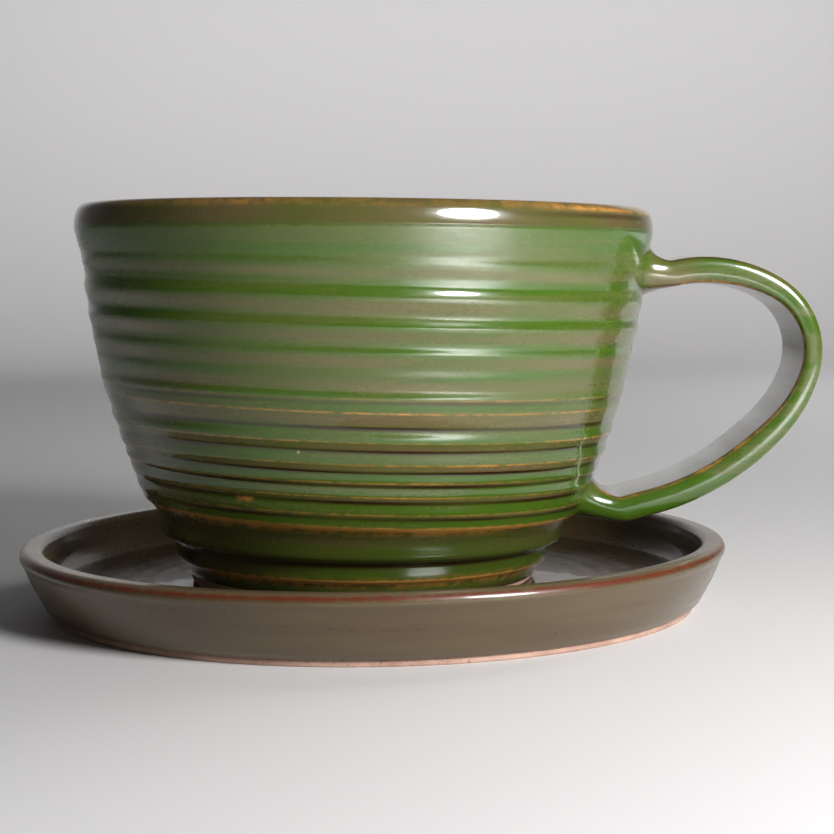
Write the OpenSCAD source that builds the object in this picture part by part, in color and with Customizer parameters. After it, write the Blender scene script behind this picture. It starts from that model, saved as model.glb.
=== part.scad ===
// Hand-thrown stoneware teacup with a strap handle, standing on its saucer.
// Origin: centre of the saucer at table level. +Z is up and +X points to the handle.

/* [Cup] */
// Height of the cup from its foot to the top of the lip
cup_h = 72; // [62:1:88]
// Outside radius of the rolled lip, glaze included
lip_r = 55.4; // [48:0.1:67]
// How far the lip stands out from the wall below it
lip_proud = 1.3; // [0.6:0.1:2]
// Height of the lip band
lip_band = 5.4; // [4.2:0.1:7]
// Radius of the lip's rounded top, clay only
lip_round = 1.9; // [1.4:0.1:2]
// How full the wall is between belly and lip: 0 is a straight cone
fullness = 0.8; // [0.4:0.05:1]
// Thickness of the clay wall
wall_t = 3.2; // [2.6:0.1:4]
// Thickness of the clay floor
floor_t = 4.5; // [3.5:0.1:6]
// Radius of the flat part of the floor inside
floor_flat_r = 20; // [14:0.5:23]
// Height to which the inside bottom curve rises above the floor
floor_curve_h = 13; // [9:0.5:16]
// Height from one throwing ring to the next
ring_pitch = 5.1; // [4.2:0.1:7]
// Depth of the throwing rings
ring_depth = 0.4; // [0.2:0.05:0.6]

/* [Cup foot] */
// Height of the foot ring
foot_h = 4.6; // [4:0.1:6]
// Outside radius of the foot ring at its top
foot_r = 34.5; // [28:0.1:42]
// Draft of the foot ring: how much smaller its radius is at the bottom
foot_draft = 1.5; // [0.5:0.1:2.5]
// Width of the foot ring
foot_w = 5; // [4:0.1:6]
// Height above the foot at which the glaze stops
glaze_stop = 1.8; // [1.6:0.1:2.4]
// How far the turned step stands out from the foot
step_out = 1.5; // [0.8:0.1:2.4]
// Height of the turned step
step_h = 3.2; // [2.4:0.1:4]
// How far the waist stands out from the step
waist_out = 2.9; // [2:0.1:3.6]
// Height of the waist band
waist_h = 3; // [2.4:0.1:4]
// How far the belly, where the lowest throwing ring stands, stands out from the waist
belly_out = 3.4; // [2.4:0.1:4.4]
// Height from the waist band to the lowest throwing ring
belly_h = 4.6; // [3.6:0.1:6]

/* [Handle] */
// Thickness of the strap, glaze included
strap_t = 5.2; // [4.4:0.1:6.5]
// Width of the strap, glaze included
strap_w = 21; // [17:0.5:26]
// Radius of the strap's rounded edges, glaze included
strap_edge_r = 2; // [1.6:0.1:2.1]
// Height of the strap's upper end below the lip
upper_drop = 12; // [11:0.5:16]
// Height of the strap's lower end above the foot
lower_z = 16.2; // [15:0.1:20]
// Length of the upper root between wall and strap
upper_root_l = 5.3; // [4:0.1:8]
// How much taller the roots are than the strap where they meet the wall
root_flare_t = 5; // [3:0.1:7]
// How much wider the roots are than the strap where they meet the wall
root_flare_w = 5; // [2:0.5:8]
// Upward slope of the strap where it leaves the upper root
start_slope = 13; // [8:1:18]

/* [Saucer] */
// Outside radius of the saucer's rim, glaze included
saucer_r = 68; // [60:0.5:82]
// Height of the saucer
saucer_h = 13; // [11.5:0.5:16]
// Radius of the saucer's base
base_r = 62.5; // [55:0.5:63]
// Thickness of the saucer's wall, glaze included
saucer_wall_t = 4.6; // [4:0.1:6]
// Radius of the outer edge of the saucer's rim, clay only
rim_edge_r = 1.2; // [0.8:0.1:1.5]
// Thickness of the clay floor
saucer_floor_t = 3.2; // [2.6:0.1:4.5]
// Height of the low ring that the saucer stands on
saucer_foot_h = 1.2; // [0.8:0.1:1.6]
// Width of the ring that the saucer stands on
saucer_foot_w = 8; // [5:0.5:12]
// Radius of the curve between floor and wall inside
fillet_r = 4; // [2.5:0.5:5]

/* [Glaze and placing] */
// Thickness of every coat of glaze
glaze_t = 0.4; // [0.3:0.05:0.5]
// Lean of the hand-thrown cup towards its handle, in degrees
cup_lean = 1.1; // [0:0.1:1.2]
// Where the cup stands on the saucer, from its centre towards the handle
cup_shift = -2.3; // [-4:0.1:4]
// Gap under the foot, so that the cup lifts off freely
seat_gap = 0.02; // [0.01:0.01:0.05]

/* [Hidden] */
$fn = 96;

green_glaze = [0.30, 0.42, 0.17];
olive_glaze = [0.33, 0.28, 0.20];
bare_clay = [0.72, 0.56, 0.49];

// The saucer's floor that the cup stands on
seat_z = saucer_foot_h + saucer_floor_t + glaze_t + seat_gap;

// Bends of the strap from the upper root to the lower one: [radius, turn in degrees].
// They keep these proportions and are scaled to the height between the two roots.
strap_bends = [[26, 44], [14, 75], [26.5, 25], [48, 33.5]];
bend_step = 6;
neck_z = cup_h - lip_band;
neck_r = lip_r - lip_proud;
step_r = foot_r + step_out;
step_z = foot_h + step_h;
waist_r = step_r + waist_out;
waist_z = step_z + waist_h;
belly_r = waist_r + belly_out;
belly_z = waist_z + belly_h;
ring_ledge = 0.7;
ring_count = floor((neck_z - belly_z - ring_pitch / 2) / ring_pitch);
// How far the step's lower edge is turned in, and its height above the foot
step_edge_in = 0.6;
step_edge_h = 0.5;
step_slope = 1.2;
// Angle at which the lip's rounded top leaves the lip band, below level
lip_tuck = 12;
// Rise over the floor at which the inside bottom curve turns into the wall
bottom_turn = 4;
// Angle at which the saucer's rounded rim leaves its wall, below level
rim_tuck = 20;
// How far the saucer's wall leans out between its floor and the top of the fillet
fillet_lean = 0.8;
// Thickening of the saucer's wall towards its floor, on the inside
wall_taper = 1;
// What the foot ring keeps below the saucer's floor until it is trimmed true, and its edge
trim = 0.2;
foot_bevel = 0.1;
arc_steps = 6;
curve_steps = 5;
edge_steps = 4;
root_steps = 6;
wall_steps = 4;
// Depth to which the roots' lofts run into the wall before they are cut to it
upper_bite = 2.4;
lower_bite = 4.5;

// ---- Outlines as [radius, height] points, coat = 0 for bare clay or glaze_t for glazed ----

// Outside radius of the smooth wall, glaze included, at height z above the foot
function wall_r(z) =
    let (t = (z - belly_z) / (neck_z - belly_z))
    belly_r + (neck_r - belly_r) * ((1 + fullness) * t - fullness * t * t);

function foot_side_r(z) = foot_r - glaze_t - foot_draft * (1 - z / foot_h);

// Point at fraction t of a curve from a to c that is pulled towards b
function bend(a, b, c, t) = (1 - t) * (1 - t) * a + 2 * t * (1 - t) * b + t * t * c;

function reversed(list) = [for (i = [len(list) - 1:-1:0]) list[i]];

// Each ring is a small ledge: the wall steps out over ring_ledge, then closes in again
function ring_points(skin) = [
    for (i = [0:ring_count])
        let (z = belly_z + i * ring_pitch, depth = i == 0 ? 0 : ring_depth)
        each [[wall_r(z) - depth + skin, z], [wall_r(z + ring_ledge) + skin, z + ring_ledge]]
];

lip_c = [lip_r - glaze_t - lip_round, cup_h - glaze_t - lip_round];

function lip_arc(coat, from, to) = [
    for (i = [0:arc_steps])
        let (a = from + (to - from) * i / arc_steps)
        lip_c + (lip_round + coat) * [cos(a), sin(a)]
];

function outer_points(coat) =
    let (skin = coat - glaze_t)
    concat(
        [[foot_side_r(foot_h) + coat, foot_h],
         [step_r - step_edge_in + skin, foot_h + step_edge_h],
         [step_r + skin, step_z],
         [waist_r + skin, step_z + step_slope],
         [waist_r + skin, waist_z]],
        ring_points(skin),
        [[neck_r + skin, neck_z]],
        lip_arc(coat, -lip_tuck, 90));

// Inside radius of the wall, and the height at which the inside bottom curve ends
function inner_r(z, coat) = wall_r(z) - glaze_t - wall_t - coat;
inner_z = foot_h + floor_t + floor_curve_h;

function inner_curve(coat) =
    let (a = [floor_flat_r, foot_h + floor_t + coat],
         b = [inner_r(foot_h + floor_t + bottom_turn, coat), a[1]],
         c = [inner_r(inner_z, coat), inner_z])
    [for (i = [0:curve_steps]) bend(a, b, c, i / curve_steps)];

function inner_points(coat) =
    concat(
        lip_arc(coat, 90, 180),
        [for (i = [wall_steps:-1:1])
            let (z = inner_z + (neck_z - inner_z) * i / wall_steps)
            [inner_r(z, coat), z]],
        reversed(inner_curve(coat)),
        [[0, foot_h + floor_t + coat]]);

// ---- Placing ----

module on_saucer() {
    translate([cup_shift, 0, seat_z])
        rotate([0, cup_lean, 0])
            children();
}

// ---- Cup ----

module cup_bowl() {
    color(bare_clay)
        on_saucer()
            rotate_extrude()
                polygon(concat([[0, foot_h]], outer_points(0), inner_points(0)));
}

// The foot is turned true to the saucer's floor, so the cup above it leans
module cup_foot_ring() {
    extra = foot_r * tan(cup_lean) + trim;
    color(bare_clay)
        difference() {
            on_saucer()
                rotate_extrude()
                    polygon([[foot_r - foot_w, -extra],
                             [foot_side_r(0) - foot_bevel, -extra],
                             [foot_side_r(0), 0],
                             [foot_side_r(foot_h), foot_h],
                             [foot_r - foot_w, foot_h]]);
            translate([cup_shift, 0, seat_z - foot_h])
                cylinder(h = foot_h, r = foot_r + 1);
        }
}

module cup_outer_glaze() {
    color(green_glaze)
        difference() {
            on_saucer()
                rotate_extrude()
                    polygon(concat(
                        [[foot_side_r(glaze_stop), glaze_stop],
                         [foot_side_r(glaze_stop) + glaze_t, glaze_stop]],
                        outer_points(glaze_t),
                        reversed(outer_points(0))));
            on_saucer() {
                loft(upper_root, 0);
                loft(lower_root, 0);
            }
        }
}

module cup_liner_glaze() {
    color(green_glaze)
        on_saucer()
            rotate_extrude()
                polygon(concat(inner_points(glaze_t), reversed(inner_points(0))));
}

// ---- Handle ----

// Path of the strap as [x, z, heading] stations, one for every bend_step of its bends
function walk(at, bends, size, i = 0) =
    i == len(bends) ? [at] :
    let (r = bends[i][0] * size, turn = bends[i][1], steps = ceil(turn / bend_step),
         arc = [for (k = [0:steps - 1])
             let (h = at[2] - turn * k / steps)
             [at[0] + r * (sin(at[2]) - sin(h)), at[1] + r * (cos(h) - cos(at[2])), h]],
         h2 = at[2] - turn,
         next = [at[0] + r * (sin(at[2]) - sin(h2)), at[1] + r * (cos(h2) - cos(at[2])), h2])
    concat(arc, walk(next, bends, size, i + 1));

upper_z = cup_h - upper_drop;
start = [wall_r(upper_z) + upper_root_l, upper_z, start_slope];
unit_walk = walk([0, 0, start_slope], strap_bends, 1);
strap_size = (upper_z - lower_z) / -unit_walk[len(unit_walk) - 1][1];
strap_walk = walk(start, strap_bends, strap_size);
end = strap_walk[len(strap_walk) - 1];

// Stations as [x, z, heading, thickness, width]. The strap keeps one section, and each
// root flares from it over its run into the wall.
strap = [for (at = strap_walk) concat(at, [strap_t, strap_w])];

function root(from, run, sign) = [
    for (i = [0:root_steps])
        let (s = i / root_steps, slope = from[2] + (sign > 0 ? 180 : 0), level = s - s * s / 2)
        [from[0] - run * s, from[1] - run * tan(slope) * level,
         from[2] - slope * s,
         strap_t + root_flare_t * s * s, strap_w + root_flare_w * s * s]
];

upper_root = reversed(root(start, start[0] - wall_r(upper_z) + upper_bite, -1));
lower_root = root(end, end[0] - wall_r(lower_z) + lower_bite, 1);

// Rounded section of a station: [across the thickness, along the width] points
function section(t, w, edge) = [
    for (q = [0:3])
        for (k = [0:edge_steps])
            let (a = 90 * q + 90 * k / edge_steps,
                 sx = q == 0 || q == 3 ? 1 : -1, sy = q < 2 ? 1 : -1)
            [sx * (t / 2 - edge) + edge * cos(a), sy * (w / 2 - edge) + edge * sin(a)]
];

function ring(at, coat) =
    let (skin = coat - glaze_t)
    [for (p = section(at[3] + 2 * skin, at[4] + 2 * skin, strap_edge_r + skin))
        [at[0] - p[0] * sin(at[2]), p[1], at[1] + p[0] * cos(at[2])]];

ring_n = 4 * (edge_steps + 1);

// Side faces between rings i and i + 1 of a list of rings that starts at point first
function sides(rings, first, flip) = [
    for (i = [0:rings - 2])
        for (j = [0:ring_n - 1])
            let (a = first + i * ring_n + j, b = first + i * ring_n + (j + 1) % ring_n,
                 c = b + ring_n, d = a + ring_n)
            each flip ? [[a, c, b], [a, d, c]] : [[a, b, c], [a, c, d]]
];

// Closed solid through the rings of the stations
module loft(stations, coat) {
    n = len(stations);
    polyhedron(
        points = [for (at = stations) each ring(at, coat)],
        faces = concat(
            sides(n, 0, false),
            [[for (j = [ring_n - 1:-1:0]) j]],
            [[for (j = [0:ring_n - 1]) (n - 1) * ring_n + j]]));
}

// Coat of glaze round the stations, open at both ends
module loft_coat(stations) {
    n = len(stations);
    inner = n * ring_n;
    last = (n - 1) * ring_n;
    polyhedron(
        points = concat([for (at = stations) each ring(at, glaze_t)],
                        [for (at = stations) each ring(at, 0)]),
        faces = concat(
            sides(n, 0, false),
            sides(n, inner, true),
            [for (j = [0:ring_n - 1])
                let (k = (j + 1) % ring_n)
                each [[j, inner + j, k], [k, inner + j, inner + k],
                      [last + j, last + k, inner + last + j],
                      [last + k, inner + last + k, inner + last + j]]]));
}

module wall_solid(coat) {
    rotate_extrude()
        polygon(concat([[0, foot_h]], outer_points(coat), [[0, cup_h - glaze_t + coat]]));
}

module handle_strap() {
    color(bare_clay)
        on_saucer()
            loft(strap, 0);
}

module handle_upper_root() {
    color(bare_clay)
        on_saucer()
            difference() {
                loft(upper_root, 0);
                wall_solid(0);
            }
}

module handle_lower_root() {
    color(bare_clay)
        on_saucer()
            difference() {
                loft(lower_root, 0);
                wall_solid(0);
            }
}

module handle_glaze() {
    color(green_glaze)
        on_saucer()
            difference() {
                loft_coat(concat(upper_root, [for (i = [1:len(strap) - 2]) strap[i]], lower_root));
                wall_solid(glaze_t);
            }
}

// ---- Saucer ----

function saucer_outer(coat) =
    let (skin = coat - glaze_t, c = [saucer_r - glaze_t - rim_edge_r, saucer_h - glaze_t - rim_edge_r])
    concat(
        [[base_r + skin + (saucer_r - base_r) * saucer_foot_h / saucer_h, saucer_foot_h]],
        [for (i = [0:arc_steps])
            let (a = -rim_tuck + (90 + rim_tuck) * i / arc_steps)
            c + (rim_edge_r + coat) * [cos(a), sin(a)]]);

function saucer_inner(coat) =
    let (top_r = saucer_r - saucer_wall_t, floor_z = saucer_foot_h + saucer_floor_t,
         low_r = base_r - saucer_wall_t + wall_taper)
    concat(
        [[top_r + rim_edge_r, saucer_h - glaze_t + coat],
         [top_r + glaze_t - coat, saucer_h - glaze_t - rim_edge_r]],
        [for (i = [0:curve_steps])
            bend([low_r + fillet_lean - coat, floor_z + fillet_r], [low_r - coat, floor_z + coat],
                 [low_r - fillet_r, floor_z + coat], i / curve_steps)],
        [[0, floor_z + coat]]);

module saucer_dish() {
    color(bare_clay)
        rotate_extrude()
            polygon(concat([[0, saucer_foot_h]], saucer_outer(0), saucer_inner(0)));
}

module saucer_foot_ring() {
    color(bare_clay)
        difference() {
            cylinder(h = saucer_foot_h, r = base_r - glaze_t);
            translate([0, 0, -1])
                cylinder(h = saucer_foot_h + 2, r = base_r - glaze_t - saucer_foot_w);
        }
}

module saucer_glaze() {
    color(olive_glaze)
        rotate_extrude()
            polygon(concat(
                saucer_outer(glaze_t), saucer_inner(glaze_t),
                reversed(saucer_inner(0)), reversed(saucer_outer(0))));
}

cup_bowl();
cup_foot_ring();
handle_strap();
handle_upper_root();
handle_lower_root();
cup_outer_glaze();
cup_liner_glaze();
handle_glaze();
saucer_dish();
saucer_foot_ring();
saucer_glaze();
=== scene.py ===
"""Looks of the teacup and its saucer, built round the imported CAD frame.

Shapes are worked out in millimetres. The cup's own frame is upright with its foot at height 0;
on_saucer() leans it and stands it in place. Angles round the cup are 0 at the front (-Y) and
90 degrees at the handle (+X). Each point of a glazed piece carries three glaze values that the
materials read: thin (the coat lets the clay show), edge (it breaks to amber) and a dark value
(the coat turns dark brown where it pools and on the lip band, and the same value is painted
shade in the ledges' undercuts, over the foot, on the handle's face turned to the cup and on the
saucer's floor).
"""

import bpy
import numpy as np
from mathutils import Matrix, Vector


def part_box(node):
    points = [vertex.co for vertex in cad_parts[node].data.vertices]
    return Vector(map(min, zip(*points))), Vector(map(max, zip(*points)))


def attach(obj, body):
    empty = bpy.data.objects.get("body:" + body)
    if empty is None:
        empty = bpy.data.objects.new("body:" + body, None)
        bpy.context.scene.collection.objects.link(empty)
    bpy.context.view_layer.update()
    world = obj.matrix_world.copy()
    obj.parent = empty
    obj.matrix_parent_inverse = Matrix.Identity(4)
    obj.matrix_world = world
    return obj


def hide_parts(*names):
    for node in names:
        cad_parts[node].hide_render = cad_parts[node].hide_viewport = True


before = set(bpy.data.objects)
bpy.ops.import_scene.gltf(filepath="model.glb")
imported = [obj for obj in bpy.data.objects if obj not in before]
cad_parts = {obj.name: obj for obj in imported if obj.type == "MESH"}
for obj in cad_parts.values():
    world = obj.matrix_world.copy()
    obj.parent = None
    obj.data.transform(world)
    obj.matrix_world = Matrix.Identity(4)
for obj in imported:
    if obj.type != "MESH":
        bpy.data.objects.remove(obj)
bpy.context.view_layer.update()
MM = 0.001


def box_mm(node):
    """A CAD node's lowest and highest corner, in millimetres."""
    low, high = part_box(node)
    return np.array(low) / MM, np.array(high) / MM


# ---- Sizes in millimetres ----

outer_low, outer_high = box_mm("cup_outer_glaze")
foot_low, foot_high = box_mm("cup_foot_ring")
saucer_low, saucer_high = box_mm("saucer_glaze")
ring_low, ring_high = box_mm("saucer_foot_ring")

LEAN = np.radians(1.1)
SEAT_X = -2.3
SEAT_Z = foot_low[2]

CUP_H = 72.0
LIP_R = (outer_high[1] - outer_low[1]) / 2
LIP_BAND = 4.6
LIP_EDGE_Z = CUP_H - LIP_BAND
NECK_Z = 66.6
NECK_R = LIP_R - 1.3
LIP_FLARE = 0.18
FLARE_Z = 60.5
FLARE_BLEND = 2.5
BELLY_Z = 15.4
BELLY_R = 42.3
FULLNESS = 0.8
WALL_T = 4.2
FLOOR_Z = 9.5
FOOT_H = 4.6
FOOT_INNER_R = 29.5
GLAZE_STOP = 1.8
RING_TILT = 1.1
BELLY_LINE_Z = 15.0
HEEL_LINE_Z = 4.6
LINE_H = 0.7
FLECK_ANGLE = -27.4
FLECK_Z = 19.6
FLECK_W = 2.2
FLECK_H = 0.7
INSIDE_RING_GAP = 5.4

STRAP_T = 5.4
STRAP_T_KNUCKLE = 4.0
STRAP_OUT = 2.6
STRAP_W = 21.0
UPPER_Z = 60.0
LOWER_Z = 16.2
UPPER_ROOT_L = 5.3
START_SLOPE = 13.0
# Radius and turn in degrees of each bend of the strap, from the upper root on
STRAP_BENDS = [[26, 44], [14, 75], [26.5, 25], [48, 33.5]]
LOWER_RUN = 5.5
# Footprint of each root on the wall: lowest and highest point, half its width, and how far the
# skin runs on along the strap and along the wall before it turns from one to the other
UPPER_ROOT = [54.6, 66.0, 12.6, 5.0, 5.0]
LOWER_ROOT = [12.3, 21.6, 12.6, 7.0, 6.0]

SAUCER_R = saucer_high[0]
SAUCER_H = saucer_high[2]
SAUCER_BASE_R = ring_high[0] + 0.4
SAUCER_FOOT_H = ring_high[2]
SAUCER_FOOT_W = 8.0
SAUCER_WALL_T = 4.6
SAUCER_RIM_R = 1.6
SAUCER_HEEL_R = 0.7
SAUCER_FLOOR_Z = SEAT_Z - 0.02

CUP_COLUMNS = 320
STRAP_RINGS = 150
ROOT_RINGS = 18
SAUCER_COLUMNS = 288
CLOSE_ROWS = 0.13
WIDE_ROWS = 0.34

# Throwing ledges from the lip down: height of the edge at the front, how far the wall steps in
# below it, height of that undercut, gap above the edge, height over which the wall leans back
# above the gap, sharpness from 0 to 1, angle where the ledge is strongest
LEDGES = [
    [60.6, 0.17, 2.0, 0.4, 1.5, 0.1, -12],
    [55.0, 0.54, 2.4, 0.5, 2.0, 0.2, 3],
    [50.1, 0.47, 2.2, 0.4, 1.7, 0.2, 0],
    [45.6, 0.24, 2.0, 0.3, 1.5, 0.1, 50],
    [41.6, 0.16, 2.2, 0.4, 1.6, 0.1, 0],
    [38.3, 0.16, 0.6, 0.2, 1.6, 0.55, 20],
    [35.9, 0.62, 2.7, 0.2, 5.0, 0.9, 5],
    [30.7, 0.52, 1.6, 0.2, 2.2, 0.9, 10],
    [26.8, 0.36, 1.4, 0.2, 2.2, 0.8, 30],
    [23.6, 0.22, 0.6, 0.2, 1.6, 0.7, -30],
    [21.0, 0.34, 1.0, 0.2, 1.6, 0.8, 0],
    [17.8, 0.24, 0.8, 0.2, 1.6, 0.7, 20],
]


# ---- Small tools ----

def smooth(low, high, x):
    """0 below low, 1 above high, and a smooth rise between them."""
    t = np.clip((x - low) / (high - low), 0, 1)
    return t * t * (3 - 2 * t)


def bump(centre, width, x):
    """A smooth bump of height 1 that is 0 beyond width from its centre."""
    t = np.clip(1 - ((x - centre) / width) ** 2, 0, 1)
    return t * t


def spaced(low, high, gap):
    """Even steps from low to high, about gap apart."""
    return np.linspace(low, high, max(2, int(round((high - low) / gap)) + 1))


def arc(centre_r, centre_z, radius, start, end, count):
    """Points [radius, height] on an arc, its angles in degrees from outwards to up."""
    a = np.radians(np.linspace(start, end, count))
    return np.stack([centre_r + radius * np.cos(a), centre_z + radius * np.sin(a)], axis=-1)


def angles(columns):
    """Angles of the columns of points, once round."""
    return np.linspace(0, 2 * np.pi, columns, endpoint=False)


def turned(radius, height, angle):
    """Points at that radius, height and angle round the cup, which may be arrays."""
    radius, height, angle = np.broadcast_arrays(radius, height, angle)
    return np.stack([radius * np.sin(angle), -radius * np.cos(angle), height], axis=-1)


def mesh_object(name, points, faces, values=None):
    """A smooth-shaded mesh from points in millimetres, with the glaze values of its points."""
    mesh = bpy.data.meshes.new(name)
    mesh.from_pydata((points.reshape(-1, 3) * MM).tolist(), [], faces)
    mesh.polygons.foreach_set("use_smooth", np.ones(len(mesh.polygons), dtype=bool))
    if values is not None:
        layer = mesh.color_attributes.new("glaze", "FLOAT_COLOR", "POINT")
        colour = np.ones((len(mesh.vertices), 4))
        colour[:, :3] = values.reshape(-1, 3)
        layer.data.foreach_set("color", colour.ravel())
    mesh.update()
    made = bpy.data.objects.new(name, mesh)
    bpy.context.collection.objects.link(made)
    return made


def grid_faces(rows, columns, wrap):
    """Quads through a grid whose columns close into a ring, and whose rows do too if wrap."""
    index = np.arange(rows * columns).reshape(rows, columns)
    right = np.roll(index, -1, axis=1)
    up, up_right = np.roll(index, -1, axis=0), np.roll(right, -1, axis=0)
    quads = np.stack([index, right, up_right, up], axis=-1)
    return (quads if wrap else quads[:-1]).reshape(-1, 4).tolist()


def lathe(name, grid, values=None):
    """A closed solid through rows that start and end near the axis. A fan closes each end."""
    rows, columns = grid.shape[:2]
    faces = grid_faces(rows, columns, wrap=False)
    last = (rows - 1) * columns
    faces += [[(j + 1) % columns, j, rows * columns] for j in range(columns)]
    faces += [[last + j, last + (j + 1) % columns, rows * columns + 1] for j in range(columns)]
    points = np.concatenate([grid.reshape(-1, 3), grid[0].mean(0)[None], grid[-1].mean(0)[None]])
    if values is not None:
        ends = np.stack([values[0].mean(0), values[-1].mean(0)])
        values = np.concatenate([values.reshape(-1, 3), ends])
    return mesh_object(name, points, faces, values)


def hoop(name, grid, values=None):
    """A closed solid through rows that run once round a section."""
    faces = grid_faces(grid.shape[0], grid.shape[1], wrap=True)
    return mesh_object(name, grid, faces, values)


def on_saucer(points):
    """Leans the cup's points towards the handle and stands them on the saucer."""
    x, y, z = np.moveaxis(points, -1, 0)
    c, s = np.cos(LEAN), np.sin(LEAN)
    return np.stack([x * c + z * s + SEAT_X, y, z * c - x * s + SEAT_Z], axis=-1)


# ---- The cup's wall ----

def wall_r(z):
    """Outside radius of the smooth wall, which flares a little more under the lip."""
    t = (z - BELLY_Z) / (NECK_Z - BELLY_Z)
    curve = BELLY_R + (NECK_R - BELLY_R) * ((1 + FULLNESS) * t - FULLNESS * t * t)
    past = z - FLARE_Z
    return curve + LIP_FLARE / 2 * (past + np.sqrt(past * past + FLARE_BLEND ** 2))


def rise(z, low, height, sharp):
    """0 below low, 1 above low + height, and a ramp between with more or less sharp ends."""
    t = np.clip((z - low) / height, 0, 1)
    return sharp * t + (1 - sharp) * t * t * (3 - 2 * t)


def ledges(z, angle):
    """How far the ledges move the wall out, and the glaze values that they give."""
    move = np.zeros(np.broadcast(z, angle).shape)
    thin, edge, dark_glaze_and_shade = move.copy(), move.copy(), move.copy()
    for top, drop, height, gap, lean, sharp, peak in LEDGES:
        turn = angle - np.radians(peak)
        power = 0.66 + 0.18 * np.cos(turn) + 0.16 * np.cos(7 * turn)
        lip_of_ledge = rise(z, top - height, height, sharp)
        move += drop * power * (lip_of_ledge - rise(z, top + gap, lean, 0.3 * sharp))
        thin += power * bump(top - height / 2, height * 0.75, z) * (0.55 + 0.45 * sharp)
        edge += power * smooth(0.3, 0.8, sharp) * bump(top, 0.24, z)
        # Dark line at the foot of each undercut: glaze pooled in the corner, and painted shade in
        # that crease as well
        dark_glaze_and_shade += 1.2 * power * smooth(0.3, 0.8, sharp) * bump(top - height, 0.55, z)
    return move, np.stack([thin, edge, dark_glaze_and_shade], axis=-1)


def tilt(z):
    """How far the rings at height z slope down towards the handle: not at all at lip and foot."""
    return RING_TILT * smooth(6, 15, z) * (1 - smooth(58, LIP_EDGE_Z, z))


# Radius and height of the glazed outside from the foot's edge up to the belly
FOOT_PROFILE = np.array([
    [33.65, 1.8], [34.1, 3.0], [34.7, 4.1], [35.25, 4.45], [35.8, 4.75], [36.05, 5.2],
    [36.25, 6.2], [36.4, 7.2], [36.6, 7.9], [37.2, 8.4], [38.3, 8.8], [38.85, 9.3],
    [39.0, 10.0], [39.15, 11.0], [39.5, 12.2], [40.2, 13.4], [41.2, 14.5], [41.55, 14.75],
    [41.8, 14.95],
])


def wall_heights():
    """Heights of the rows up the wall: close together at the ledges' edges, wider between."""
    ends = [BELLY_Z] + [z for row in LEDGES for z in (row[0], row[0] - row[2])]
    rows = [BELLY_Z]
    while rows[-1] < LIP_EDGE_Z - 0.3:
        near = min(abs(rows[-1] - z) for z in ends)
        rows.append(rows[-1] + (CLOSE_ROWS if near < 0.5 else WIDE_ROWS))
    return np.array(rows)


def lip_profile():
    """The lip band: a crisp lower edge, a gently rounded face, and the crown down to the inside."""
    low = LIP_EDGE_Z + 0.5
    edge = arc(LIP_R - 0.9, low, 0.9, -14, 2, 4)
    face = arc(LIP_R - 8, low, 8, 3, 19, 8)
    top_r, top_z = face[-1]
    a = np.radians(np.linspace(26, 90, 9))
    first = np.radians(20)
    up = (np.sin(a) - np.sin(first)) / (1 - np.sin(first))
    crown = np.stack([top_r - 2.1 * (np.cos(first) - np.cos(a)),
                      top_z + (CUP_H - top_z) * up], axis=-1)
    inner_r = wall_r(NECK_Z - 3) - WALL_T
    a = np.radians([15, 32, 50, 68, 84])
    start = crown[-1, 0]
    inner = np.stack([start - (start - inner_r) * np.sin(a), CUP_H - 2.6 * (1 - np.cos(a))],
                     axis=-1)
    return np.concatenate([edge, face, crown, inner])


def bottom_curve(low_z, wall_in, count):
    """The curve that joins the inside wall to the floor."""
    a = np.array([wall_r(FLOOR_Z + 13.5) - wall_in, FLOOR_Z + 13.5])
    b = np.array([wall_r(FLOOR_Z + 3) - wall_in - 1, low_z + 0.3])
    c = np.array([19.0, low_z])
    t = np.linspace(0, 1, count)[:, None]
    return (1 - t) ** 2 * a + 2 * t * (1 - t) * b + t * t * c


def inside_profile():
    """Outline of the inside, from under the lip down to the middle of the floor."""
    z = spaced(FLOOR_Z + 14.2, NECK_Z - 0.9, 0.8)[::-1]
    wall = np.stack([wall_r(z) - WALL_T, z], axis=-1)
    r = np.array([15, 11, 7.5, 4.5, 2.0, 0.6])
    floor = np.stack([r, FLOOR_Z - 0.25 * (1 - r / 19)], axis=-1)
    return np.concatenate([wall, bottom_curve(FLOOR_Z, WALL_T, 20), floor])


def clay_profile():
    """Smooth outline of the clay under the coat, from the foot over the lip to the centre."""
    foot = np.array([[33.3, 1.8], [34.0, 5.2], [35.8, 9.6], [37.8, 13.0]])
    z = spaced(BELLY_Z, NECK_Z, 4)
    wall = np.stack([wall_r(z) - 1.6, z], axis=-1)
    lip = np.array([[NECK_R - 0.8, NECK_Z + 2], [NECK_R - 1.0, CUP_H - 1.4],
                    [NECK_R - 2.0, CUP_H - 1.4]])
    z = spaced(FLOOR_Z + 14.2, NECK_Z - 0.9, 4)[::-1]
    inside = np.stack([wall_r(z) - WALL_T + 0.7, z], axis=-1)
    floor = np.array([[8.0, FLOOR_Z - 1], [0.6, FLOOR_Z - 1]])
    return np.concatenate([foot, wall, lip, inside,
                           bottom_curve(FLOOR_Z - 0.9, WALL_T - 0.8, 8), floor])


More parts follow.
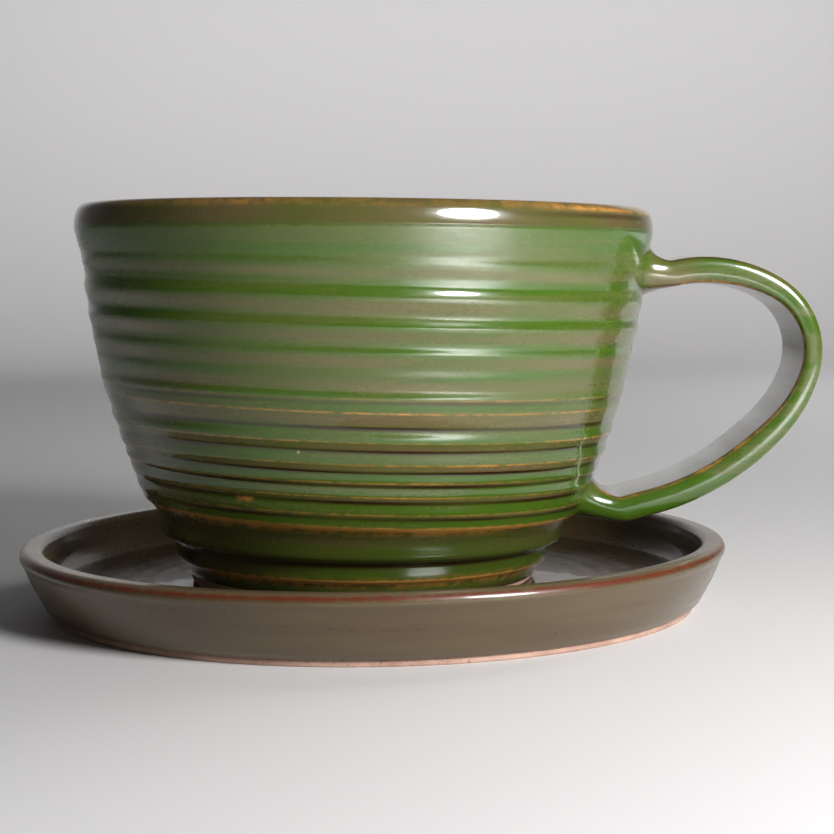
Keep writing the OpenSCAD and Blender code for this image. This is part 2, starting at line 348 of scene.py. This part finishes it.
def cup_glaze():
    """The whole green coat, outside and in, with the clay's outline as its hidden back."""
    angle = angles(CUP_COLUMNS)[None, :]
    rows, values = [], []

    def add(radius, height, thin=0.0, edge=0.0, dark_glaze_and_shade=0.0):
        grid = turned(radius, height, angle)
        rows.append(grid)
        values.append(np.stack([np.broadcast_to(v, grid.shape[:2])
                                for v in (thin, edge, dark_glaze_and_shade)], axis=-1))

    r, z = clay_profile()[::-1].T[..., None]
    add(r, z)
    # The foot and lower belly are darker all round and most at the step 8 mm up: glaze that pools
    # there, and painted shade low down by the saucer
    r, z = FOOT_PROFILE.T[..., None]
    add(r, z - tilt(z) * np.sin(angle), 0.3 * bump(13, 2.5, z),
        2.4 * bump(HEEL_LINE_Z, LINE_H, z) + 2.6 * bump(BELLY_LINE_Z, LINE_H, z),
        0.4 + 0.8 * bump(8.0, 1.0, z))
    z = wall_heights()[:, None]
    move, glaze = ledges(z, angle)
    # One amber fleck to the left of the front
    off = (angle - np.radians(FLECK_ANGLE) + np.pi) % (2 * np.pi) - np.pi
    glaze[..., 1] += 2 * bump(0, FLECK_W, off * BELLY_R) * bump(FLECK_Z, FLECK_H, z)
    uneven = 0.10 * np.sin(2 * angle + 0.11 * z) + 0.06 * np.sin(3 * angle - 0.17 * z + 1)
    uneven = uneven * smooth(BELLY_Z, BELLY_Z + 4, z) * (1 - smooth(61, LIP_EDGE_Z, z))
    add(wall_r(z) + move + uneven, z - tilt(z) * np.sin(angle),
        glaze[..., 0], glaze[..., 1] + 2.6 * bump(BELLY_LINE_Z, LINE_H, z), glaze[..., 2])
    r, z = lip_profile().T[..., None]
    outside = smooth(NECK_R - 2.5, NECK_R, r)
    crown = smooth(CUP_H - 1.7, CUP_H - 1.0, z)
    # On the right, where the key light falls, the crown's amber and a dark band below it are made
    # stronger: that extra is painted light and shade, over an amber crown and a darker band that
    # run all round
    right = smooth(0.3, 0.8, np.sin(angle))
    add(r, z, 0.8 * smooth(LIP_EDGE_Z + 0.1, LIP_EDGE_Z + 0.6, z),
        crown * (0.35 + 0.5 * right * outside),
        outside * (0.35 + 0.5 * right * bump(CUP_H - 2.3, 0.7, z)))
    r, z = inside_profile().T[..., None]
    ring = np.sin(2 * np.pi * z / INSIDE_RING_GAP) * smooth(FLOOR_Z + 4, FLOOR_Z + 12, z)
    ring = ring * (1 - smooth(NECK_Z - 6, NECK_Z, z))
    add(r + 0.16 * ring, z, 0.4 * np.maximum(ring, 0), 0, 0.4 * (1 - smooth(9, 16, z)))
    return lathe("cup_glaze", on_saucer(np.concatenate(rows)), np.concatenate(values))


def cup_clay():
    """The thrown bowl under the coat. Its underside shows inside the foot, with turning marks."""
    angle = angles(CUP_COLUMNS // 2)[None, :]
    r = spaced(0.8, FOOT_INNER_R + 4, 0.8)
    under = np.stack([r, FOOT_H - 0.02 + 0.12 * np.sin(2.1 * r)], axis=-1)
    r, z = np.concatenate([under, clay_profile()[1:]]).T[..., None]
    return lathe("cup_clay", on_saucer(turned(r, z, angle)))


def cup_foot():
    """The bare foot ring, trimmed flat to the saucer under the leaning cup."""
    angle = angles(CUP_COLUMNS // 2)[None, :]
    outline = np.array([
        [FOOT_INNER_R, FOOT_H], [FOOT_INNER_R + 0.1, 2.4], [FOOT_INNER_R + 0.3, 0.9],
        [FOOT_INNER_R + 0.6, 0.25], [FOOT_INNER_R + 1.1, 0.0], [31.2, 0.0], [32.3, 0.0],
        [32.75, 0.12], [33.0, 0.5], [33.15, 1.1], [33.35, 1.9], [33.6, 3.2], [33.9, FOOT_H]])
    r, z = outline[::-1].T[..., None]
    grid = on_saucer(turned(r, z, angle))
    flat = 1 - smooth(0, GLAZE_STOP, z)
    grid[..., 2] += (SEAT_Z + z - grid[..., 2]) * flat
    return hoop("cup_foot", grid)


# ---- The handle ----

def strap_path(count):
    """Points [x, z] and headings along the strap's middle, from the upper root to the lower."""
    turns = []
    for radius, turn in STRAP_BENDS:
        length = radius * np.radians(turn)
        turns.append(np.full(int(length * 20), -np.radians(turn) / int(length * 20)))
    turns = np.concatenate(turns)
    window = np.hanning(121)
    turns = np.convolve(np.pad(turns, 60, mode="edge"), window / window.sum(), mode="valid")
    turns *= np.radians(sum(turn for _, turn in STRAP_BENDS)) / -turns.sum()
    heading = np.radians(START_SLOPE) + np.concatenate([[0], np.cumsum(turns)])
    steps = np.stack([np.cos(heading), np.sin(heading)], axis=-1)
    path = np.concatenate([[[0, 0]], np.cumsum((steps[:-1] + steps[1:]) / 2, axis=0)])
    path *= (UPPER_Z - LOWER_Z) / -path[-1, 1]
    pick = np.linspace(0, len(path) - 1, count).round().astype(int)
    start = np.array([wall_r(UPPER_Z) + UPPER_ROOT_L, UPPER_Z])
    return start + path[pick], heading[pick]


def outside_r(z):
    """Radius of the glazed outside at height z, without ledges."""
    foot = np.interp(z, FOOT_PROFILE[:, 1], FOOT_PROFILE[:, 0])
    return np.where(z < BELLY_Z, foot, wall_r(z))


def strap_outline():
    """The strap's section as [across, along] points from the outer face round, and its corners.

    Its broad faces are crowned a little, and its narrow sides are rounded all the way.
    """
    half_w, side_depth, crown, squareness = STRAP_W / 2, 1.9, 0.30, 0.72
    b = np.linspace(0, half_w - side_depth, 9)
    face = np.stack([STRAP_OUT - crown * (b / half_w) ** 2, b], axis=-1)
    a = np.linspace(0, 90, 12)[1:]
    c, s = np.cos(np.radians(a)).clip(0), np.sin(np.radians(a))
    side = np.stack([face[-1, 0] * c ** squareness,
                     half_w - side_depth * (1 - s ** squareness)], axis=-1)
    quarter = np.concatenate([face, side])
    sharp = np.concatenate([np.zeros(len(face)), bump(26, 24, a)])
    half = np.concatenate([quarter, quarter[::-1][1:] * [-1, 1]])
    half_sharp = np.concatenate([sharp, sharp[::-1][1:]])
    return (np.concatenate([half, half[::-1][1:-1] * [1, -1]]),
            np.concatenate([half_sharp, half_sharp[::-1][1:-1]]))


SECTION, SECTION_SHARP = strap_outline()


def section_ring(x, z, heading, thick_in, shrink=0.0):
    """One ring of the strap's skin round a point of its path."""
    across, along = SECTION.T
    out = np.where(across > 0, across, across * thick_in / STRAP_OUT)
    out = out * (1 - shrink / STRAP_OUT)
    along = along * (1 - shrink / (STRAP_W / 2))
    return np.stack([x - out * np.sin(heading), -along, z + out * np.cos(heading)], axis=-1)


def wall_point(z, angle):
    """Points of the cup's outside at a height and angle, ledges included."""
    move = np.where(z > BELLY_Z, ledges(z + tilt(z) * np.sin(angle), angle)[0], 0)
    return turned(outside_r(z) + move, z, angle)


def root_rings(first, direction, outer_side, footprint, shrink=0.0):
    """Rings from the strap's end ring to its footprint on the wall, which they meet smoothly.

    outer_side is 1 where the strap's outer face looks up at the root, and -1 where it looks down.
    """
    low_z, high_z, half_w, pull, end_pull = footprint
    turn = np.arctan2(SECTION[:, 1] / (STRAP_W / 2), SECTION[:, 0] / STRAP_OUT)
    c, s = np.cos(turn), np.sin(turn)
    up = np.sign(c) * np.abs(c) ** 0.8 * ((high_z - low_z) / 2 - shrink) * outer_side
    wide = -np.sign(s) * np.abs(s) ** 0.8 * (half_w - shrink)
    z = (low_z + high_z) / 2 + up
    angle = np.pi / 2 + wide / outside_r(z)
    end = wall_point(z, angle)
    away = wall_point(z + 0.1 * up, angle + 0.1 * wide / outside_r(z)) - end
    away /= np.linalg.norm(away, axis=-1, keepdims=True)
    end = end - turned(0.12 + shrink, 0, angle)
    t = np.linspace(0, 1, ROOT_RINGS + 1)[1:, None, None]
    return ((2 * t ** 3 - 3 * t ** 2 + 1) * first
            + (t ** 3 - 2 * t ** 2 + t) * np.array(direction) * pull
            + (3 * t ** 2 - 2 * t ** 3) * end
            + (t ** 3 - t ** 2) * away * end_pull)


def handle_rings(shrink=0.0):
    """Rings of the whole handle, and which share of the strap's length each one stands at."""
    path, heading = strap_path(STRAP_RINGS)
    share = np.linspace(0, 1, len(path))
    # The lower end runs on straight towards the wall
    run = np.linspace(0, LOWER_RUN, 9)[1:, None]
    last_dir = np.array([np.cos(heading[-1]), np.sin(heading[-1])])
    path = np.concatenate([path, path[-1] + run * last_dir])
    heading = np.concatenate([heading, np.full(len(run), heading[-1])])
    share = np.concatenate([share, np.full(len(run), 1.0)])
    thick_in = STRAP_T - STRAP_OUT - (STRAP_T - STRAP_T_KNUCKLE) * bump(0.42, 0.34, share)
    strap = np.array([section_ring(x, z, h, t, shrink)
                      for (x, z), h, t in zip(path, heading, thick_in)])
    start_dir = [-np.cos(heading[0]), 0, -np.sin(heading[0])]
    end_dir = [last_dir[0], 0, last_dir[1]]
    upper = root_rings(strap[0], start_dir, 1, UPPER_ROOT, shrink)
    lower = root_rings(strap[-1], end_dir, -1, LOWER_ROOT, shrink)
    return upper[::-1], strap, lower, share


def sunk_end(ring):
    """A smaller copy of an end ring, inside the wall, that closes the handle out of sight."""
    middle = ring.mean(axis=0)
    return middle + (ring - middle) * 0.8 - np.array([1.6, 0, 0])


def handle_glaze():
    """The coat on the strap and its roots. Amber lines run along the corners of the inner face."""
    upper, strap, lower, share = handle_rings()
    grid = np.concatenate([upper, strap, lower])
    at = np.concatenate([np.zeros(len(upper)), share, np.ones(len(lower))])[:, None]
    near_root = np.concatenate([np.linspace(1, 0, len(upper)), np.zeros(len(strap)),
                                np.linspace(0, 1, len(lower))])[:, None]
    inner = np.where(SECTION[:, 0] < 0, 1.0, 0.0)[None, :]
    inner_face = smooth(0.6 * STRAP_OUT, 0.9 * STRAP_OUT, -SECTION[:, 0])[None, :]
    sharp = SECTION_SHARP[None, :] * (1 - near_root)
    top_arm = 1 - smooth(0.18, 0.34, at)
    edge = sharp * (inner * 0.8 + (1 - inner) * 0.2)
    # The face turned to the cup is darkened as painted shade between strap and cup; the dark line
    # on the top arm's outer corners is the glaze's own
    dark_glaze_and_shade = sharp * (1 - inner) * 0.9 * top_arm + 0.5 * inner_face
    thin = 0.9 * (1 - smooth(0.0, 0.10, at)) + 0.3 * inner_face * (1 - near_root)
    thin = thin * (1 - smooth(0.5, 1.0, near_root))
    values = np.stack(np.broadcast_arrays(thin, edge, dark_glaze_and_shade), axis=-1)
    grid = np.concatenate([[sunk_end(grid[0])], grid, [sunk_end(grid[-1])]])
    values = np.concatenate([values[:1], values, values[-1:]])
    return lathe("handle_glaze_coat", on_saucer(grid), values)


def handle_clay():
    """The strap and its two roots under the coat."""
    upper, strap, lower, _ = handle_rings(shrink=0.5)
    parts = {"strap_clay": strap, "upper_root_clay": np.concatenate([upper, strap[:1]]),
             "lower_root_clay": np.concatenate([strap[-1:], lower])}
    return {name: lathe(name, on_saucer(rings)) for name, rings in parts.items()}


# ---- The saucer ----

def saucer_profile(inset=0.0):
    """Outline of the saucer, from the middle underneath round the rim to the middle."""
    rim_r, edge_r = SAUCER_RIM_R, SAUCER_HEEL_R
    low, base = SAUCER_FOOT_H + inset, SAUCER_BASE_R + 0.5 - inset
    rim_z, top = SAUCER_H - rim_r, SAUCER_R - inset
    under_r = spaced(0.8, base - edge_r - 0.4, 6)
    under = np.stack([under_r, np.full(len(under_r), low + 0.02)], axis=-1)
    heel = arc(base - edge_r, low + edge_r, edge_r, -90, -24, 6)
    z = spaced(low + edge_r, rim_z - 0.6, 0.8)
    share = (z - low) / (rim_z - low)
    wall = np.stack([base + (top - 0.05 - base) * share + 0.3 * np.sin(np.pi * share), z],
                    axis=-1)
    rim = arc(SAUCER_R - rim_r, rim_z, rim_r - inset, -14, 90, 14)
    crown = arc(SAUCER_R - SAUCER_WALL_T + rim_r, rim_z, rim_r - inset, 94, 176, 12)
    floor_z = SAUCER_FLOOR_Z - inset
    z = spaced(floor_z + 4, rim_z - 0.5, 0.7)[::-1]
    inner = np.stack([crown[-1, 0] - 0.1 - (rim_z - z) * 0.2, z], axis=-1)
    a = inner[-1] + [-0.1, -0.5]
    b = np.array([a[0] - 0.9, floor_z])
    c = np.array([a[0] - 5.5, floor_z])
    t = np.linspace(0, 1, 14)[:, None]
    fillet = (1 - t) ** 2 * a + 2 * t * (1 - t) * b + t * t * c
    r = spaced(0.8, c[0] - 0.7, 0.7)[::-1]
    ripple = 0.03 * np.sin(2 * np.pi * r / 4.2) * smooth(36, 40, r) * smooth(0, 3, c[0] - r)
    floor = np.stack([r, floor_z + ripple], axis=-1)
    return np.concatenate([under, heel, wall, rim, crown, inner, fillet, floor])


def saucer_glaze():
    """The olive coat, rusty along the rim's edge, with a rim that isn't quite level."""
    angle = angles(SAUCER_COLUMNS)[None, :]
    r, z = saucer_profile().T[..., None]
    near_rim = smooth(SAUCER_R - 5, SAUCER_R - 2, r)
    outside = smooth(SAUCER_R - SAUCER_RIM_R, SAUCER_R - SAUCER_RIM_R + 1, r)
    edge = 1.6 * near_rim * bump(SAUCER_H - 0.8, 0.6, z) * outside
    # The floor inside is darker: painted shade under and round the cup, over a dark glossy glaze
    dark_glaze_and_shade = 0.5 * (1 - smooth(SAUCER_FLOOR_Z + 0.5, SAUCER_FLOOR_Z + 4, z)) * (r < SAUCER_R - 7)
    thin = near_rim * smooth(SAUCER_H - 1.0, SAUCER_H - 0.2, z)
    grid = turned(r, z, angle)
    wobble = 0.12 * np.sin(2 * angle + 0.6) + 0.07 * np.sin(5 * angle + 2)
    grid[..., 2] += wobble * smooth(SAUCER_FLOOR_Z + 2, SAUCER_H, z) * near_rim
    values = np.stack([np.broadcast_to(v, grid.shape[:2]) for v in (thin, edge, dark_glaze_and_shade)], axis=-1)
    return lathe("saucer_glaze_coat", grid, values)


def saucer_clay():
    """The dish under the coat."""
    angle = angles(SAUCER_COLUMNS // 2)[None, :]
    r, z = saucer_profile(inset=0.5).T[..., None]
    return lathe("saucer_clay", turned(r, z, angle))


def saucer_foot():
    """The bare ring that shows as a thin band under the coat."""
    angle = angles(SAUCER_COLUMNS)[None, :]
    outer = SAUCER_BASE_R - 0.4
    inner = outer - SAUCER_FOOT_W
    top = SAUCER_FOOT_H + 0.3
    outline = np.concatenate([
        arc(outer - 0.35, 0.35, 0.35, -90, 0, 5), [[outer, top]], [[inner, top]],
        arc(inner + 0.4, 0.4, 0.4, -180, -90, 5)])
    r, z = outline.T[..., None]
    return hoop("saucer_foot", turned(r, z, angle))


# ---- Materials ----

class Builder:
    """A new material, with short names for making and joining its shader nodes."""

    def __init__(self, name):
        self.material = bpy.data.materials.new(name)
        self.material.use_nodes = True
        self.nodes = self.material.node_tree.nodes
        self.links = self.material.node_tree.links
        self.shader = self.nodes["Principled BSDF"]

    def put(self, socket, value):
        if isinstance(value, bpy.types.NodeSocket):
            self.links.new(value, socket)
        elif value is not None:
            socket.default_value = value

    def noise(self, vector, scale, detail=3.0, rough=0.5, stretch=(1, 1, 1)):
        mapping = self.nodes.new("ShaderNodeMapping")
        self.put(mapping.inputs["Vector"], vector)
        mapping.inputs["Scale"].default_value = stretch
        node = self.nodes.new("ShaderNodeTexNoise")
        self.put(node.inputs["Vector"], mapping.outputs[0])
        node.inputs["Scale"].default_value = scale
        node.inputs["Detail"].default_value = detail
        node.inputs["Roughness"].default_value = rough
        return node.outputs["Fac"]

    def spots(self, vector, scale):
        node = self.nodes.new("ShaderNodeTexVoronoi")
        self.put(node.inputs["Vector"], vector)
        node.inputs["Scale"].default_value = scale
        return node

    def math(self, operation, a, b=None, clamp=False):
        node = self.nodes.new("ShaderNodeMath")
        node.operation = operation
        node.use_clamp = clamp
        self.put(node.inputs[0], a)
        self.put(node.inputs[1], b)
        return node.outputs[0]

    def ramp(self, value, low, high, to_low=0.0, to_high=1.0):
        node = self.nodes.new("ShaderNodeMapRange")
        node.interpolation_type = "SMOOTHSTEP"
        self.put(node.inputs["Value"], value)
        for key, v in (("From Min", low), ("From Max", high), ("To Min", to_low),
                       ("To Max", to_high)):
            node.inputs[key].default_value = v
        return node.outputs[0]

    def channels(self, colour):
        node = self.nodes.new("ShaderNodeSeparateColor")
        self.put(node.inputs[0], colour)
        return node.outputs

    def relief(self, height, strength, distance):
        node = self.nodes.new("ShaderNodeBump")
        node.inputs["Strength"].default_value = strength
        node.inputs["Distance"].default_value = distance
        self.put(node.inputs["Height"], height)
        self.put(self.shader.inputs["Normal"], node.outputs[0])

    def mix(self, factor, a, b):
        node = self.nodes.new("ShaderNodeMix")
        node.data_type = "RGBA"
        self.put(node.inputs["Factor"], factor)
        self.put(node.inputs["A"], a)
        self.put(node.inputs["B"], b)
        return node.outputs["Result"]


def rgb(red, green, blue):
    """A colour given as it looks on screen, 0 to 255, turned into linear light."""
    share = np.array([red, green, blue]) / 255
    linear = np.where(share <= 0.04045, share / 12.92, ((share + 0.055) / 1.055) ** 2.4)
    return (*linear.tolist(), 1.0)


def glaze_material(name, body, body_2, thin_colour, edge_colour, dark_glaze_and_shade_colour, satin, coat):
    """A streaked glaze that takes its colour from the glaze values of the piece it is on.

    satin is its least roughness, and coat how much of a clear, glassy skin lies over it.
    """
    b = Builder(name)
    place = b.nodes.new("ShaderNodeTexCoord").outputs["Object"]
    values = b.nodes.new("ShaderNodeAttribute")
    values.attribute_name = "glaze"
    thin, edge, dark_glaze_and_shade = b.channels(values.outputs["Color"])

    streaks = b.noise(place, 24, 4, 0.55, (1, 1, 16))
    blotch = b.noise(place, 28, 3, 0.5, (1, 1, 4))
    grain = b.noise(place, 900, 2, 0.6)
    beads = b.noise(place, 420, 2, 0.7)
    colour = b.mix(b.ramp(streaks, 0.35, 0.65), body, body_2)
    thin_share = b.math("MULTIPLY", thin, b.ramp(blotch, 0.30, 0.62, 0.35, 1.0), clamp=True)
    colour = b.mix(b.math("MULTIPLY", thin_share, 0.85), colour, thin_colour)
    # Dark brown where the glaze pools, and painted shade where a piece's values ask for it
    dark_glaze_and_shade_share = b.math("MULTIPLY", dark_glaze_and_shade, b.ramp(blotch, 0.25, 0.6, 0.7, 1.0), clamp=True)
    colour = b.mix(dark_glaze_and_shade_share, colour, dark_glaze_and_shade_colour)
    broken = b.math("MULTIPLY", b.ramp(beads, 0.35, 0.62, 0.2, 1.2),
                    b.ramp(streaks, 0.36, 0.56, 0.35, 1.0))
    solid = b.math("ADD", edge, -1.0)
    edge_share = b.math("ADD", b.math("MULTIPLY", edge, broken),
                        b.math("MAXIMUM", solid, 0.0), clamp=True)
    colour = b.mix(edge_share, colour, edge_colour)
    # Pinholes and flecks
    fleck = b.spots(place, 160)
    small = b.ramp(fleck.outputs["Distance"], 0.035, 0.06, 1.0, 0.0)
    chosen = b.ramp(b.channels(fleck.outputs["Color"])[0], 0.90, 0.92)
    fleck_share = b.math("MULTIPLY", small, chosen)
    colour = b.mix(b.math("MULTIPLY", fleck_share, 0.6), colour, rgb(190, 170, 120))
    b.put(b.shader.inputs["Base Color"], colour)
    rough = b.math("ADD", b.ramp(streaks, 0.35, 0.65, satin, satin + 0.12),
                   b.ramp(grain, 0.3, 0.7, 0.0, 0.04))
    rough = b.math("ADD", rough, b.math("MULTIPLY", dark_glaze_and_shade_share, -0.14))
    b.put(b.shader.inputs["Roughness"], rough)
    b.put(b.shader.inputs["IOR"], 1.5)
    b.put(b.shader.inputs["Coat Weight"], coat)
    b.put(b.shader.inputs["Coat IOR"], 1.6)
    b.put(b.shader.inputs["Coat Roughness"], 0.03)
    height = b.math("ADD", b.noise(place, 240, 3, 0.5, (1, 1, 2)),
                    b.math("MULTIPLY", fleck_share, -1.5))
    b.relief(height, 0.25, 0.00012)
    return b.material


def clay_material():
    """Pinkish buff stoneware, fired but not glazed."""
    b = Builder("bare_clay")
    place = b.nodes.new("ShaderNodeTexCoord").outputs["Object"]
    tone = b.ramp(b.noise(place, 90, 4, 0.6), 0.35, 0.65)
    grain = b.noise(place, 1500, 3, 0.7)
    colour = b.mix(tone, rgb(176, 140, 124), rgb(200, 166, 148))
    colour = b.mix(b.ramp(grain, 0.55, 0.75), colour, rgb(140, 104, 88))
    b.put(b.shader.inputs["Base Color"], colour)
    b.put(b.shader.inputs["Roughness"], b.ramp(grain, 0.3, 0.7, 0.75, 0.95))
    b.relief(grain, 0.5, 0.0002)
    return b.material


def plain_material(name, colour, rough):
    """One colour, for the floor."""
    b = Builder(name)
    b.put(b.shader.inputs["Base Color"], colour)
    b.put(b.shader.inputs["Roughness"], rough)
    return b.material


def finish_with(piece, material, slot, body, *nodes):
    """Gives a piece its material and the body it rides on, and hides the nodes it stands in for.
    The slot argument is not used.
    """
    piece.data.materials.clear()
    piece.data.materials.append(material)
    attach(piece, body)
    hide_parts(*nodes)


# ---- Stage, light and camera ----

def stage():
    """A floor that sweeps up into a backdrop behind the object."""
    front, back, top, half_w, bend = -4.0, 1.3, 3.0, 5.0, 0.45
    line = [[front, 0.0]]
    line += [[y, 0.0] for y in np.linspace(-1, back - bend, 6)]
    for a in np.radians(np.linspace(10, 90, 12)):
        line.append([back - bend + bend * np.sin(a), bend * (1 - np.cos(a))])
    line.append([back, top])
    points, faces = [], []
    for i, (y, z) in enumerate(line):
        points += [[-half_w, y, z], [half_w, y, z]]
        if i:
            faces.append([2 * i - 2, 2 * i - 1, 2 * i + 1, 2 * i])
    sweep = mesh_object("floor", np.array(points) / MM, faces)
    sweep.data.materials.append(plain_material("paper", rgb(232, 230, 230), 0.7))


def area_light(name, at, aim, width, height, power):
    """A soft light, all in metres and watts, that the camera doesn't see."""
    data = bpy.data.lights.new(name, "AREA")
    data.shape = "RECTANGLE"
    data.size, data.size_y = width, height
    data.energy = power
    light = bpy.data.objects.new(name, data)
    light.location = at
    light.rotation_euler = (Vector(aim) - Vector(at)).to_track_quat("-Z", "Y").to_euler()
    light.visible_camera = False
    bpy.context.collection.objects.link(light)
    return light


def lights():
    """A round key from the front right in a dark room, and pools of light that give no glints."""
    world = bpy.data.worlds.new("room")
    world.use_nodes = True
    background = world.node_tree.nodes["Background"]
    background.inputs["Color"].default_value = (0.95, 0.97, 1.0, 1)
    background.inputs["Strength"].default_value = 0.03
    bpy.context.scene.world = world
    azimuth, rise_up, far = np.radians(39), np.radians(21), 0.45
    at = (far * np.sin(azimuth) * np.cos(rise_up), -far * np.cos(azimuth) * np.cos(rise_up),
          far * np.sin(rise_up) + 0.06)
    key = area_light("key", at, (0, 0, 0.04), 0.178, 0.178, 2.55)
    key.data.shape = "DISK"
    # The glaze's sheen is this pool of light on the floor in front, reflected
    pool = area_light("pool", (0.19, -0.28, 0.10), (0.19, -0.28, 0), 0.12, 0.2, 0.95)
    pool.rotation_euler = (0, 0, np.radians(34))
    pool.data.spread = np.radians(80)
    wall = area_light("wall", (0.2, 0.95, 0.85), (0.15, 1.3, 0.35), 1.6, 0.3, 2.1)
    wall.data.spread = np.radians(92)
    side = area_light("side", (0.62, 0.45, 0.40), (0.05, 0.45, 0), 0.4, 0.4, 2.7)
    for light in (pool, wall, side):
        light.visible_glossy = False


def camera():
    """The main view, level with the upper part of the cup and square to the handle's plane."""
    data = bpy.data.cameras.new("view")
    data.sensor_width = 36
    data.lens = 80.8
    data.clip_start = 0.01
    made = bpy.data.objects.new("view", data)
    eye = (0, -0.364, 0.0652)
    yaw, pitch, roll = np.radians([1.38, 4.58, 0.6])
    turn = (Matrix.Rotation(-yaw, 4, "Z") @ Matrix.Rotation(np.pi / 2 - pitch, 4, "X")
            @ Matrix.Rotation(-roll, 4, "Z"))
    made.matrix_world = Matrix.Translation(eye) @ turn
    bpy.context.collection.objects.link(made)
    bpy.context.scene.camera = made


# ---- Putting it together ----

camera()
lights()
stage()
bpy.context.scene.view_settings.view_transform = "Standard"

# The sixth colour of each glaze is its dark brown, used for pooled glaze and for painted shade
green = glaze_material("green_glaze", rgb(62, 94, 18), rgb(80, 92, 36), rgb(126, 100, 76),
                       rgb(188, 134, 62), rgb(46, 28, 12), 0.18, 0.6)
olive = glaze_material("olive_glaze", rgb(86, 69, 46), rgb(94, 79, 52), rgb(100, 82, 62),
                       rgb(98, 46, 28), rgb(26, 22, 18), 0.26, 0.35)
clay = clay_material()

finish_with(cup_glaze(), green, "green_glaze", "cup", "cup_outer_glaze", "cup_liner_glaze")
finish_with(cup_clay(), clay, "bare_clay", "cup", "cup_bowl")
finish_with(cup_foot(), clay, "bare_clay", "cup", "cup_foot_ring")
finish_with(handle_glaze(), green, "green_glaze", "cup", "handle_glaze")
inside_handle = handle_clay()
finish_with(inside_handle["strap_clay"], clay, "bare_clay", "cup", "handle_strap")
finish_with(inside_handle["upper_root_clay"], clay, "bare_clay", "cup", "handle_upper_root")
finish_with(inside_handle["lower_root_clay"], clay, "bare_clay", "cup", "handle_lower_root")
finish_with(saucer_glaze(), olive, "olive_glaze", "saucer", "saucer_glaze")
finish_with(saucer_clay(), clay, "bare_clay", "saucer", "saucer_dish")
finish_with(saucer_foot(), clay, "bare_clay", "saucer", "saucer_foot_ring")
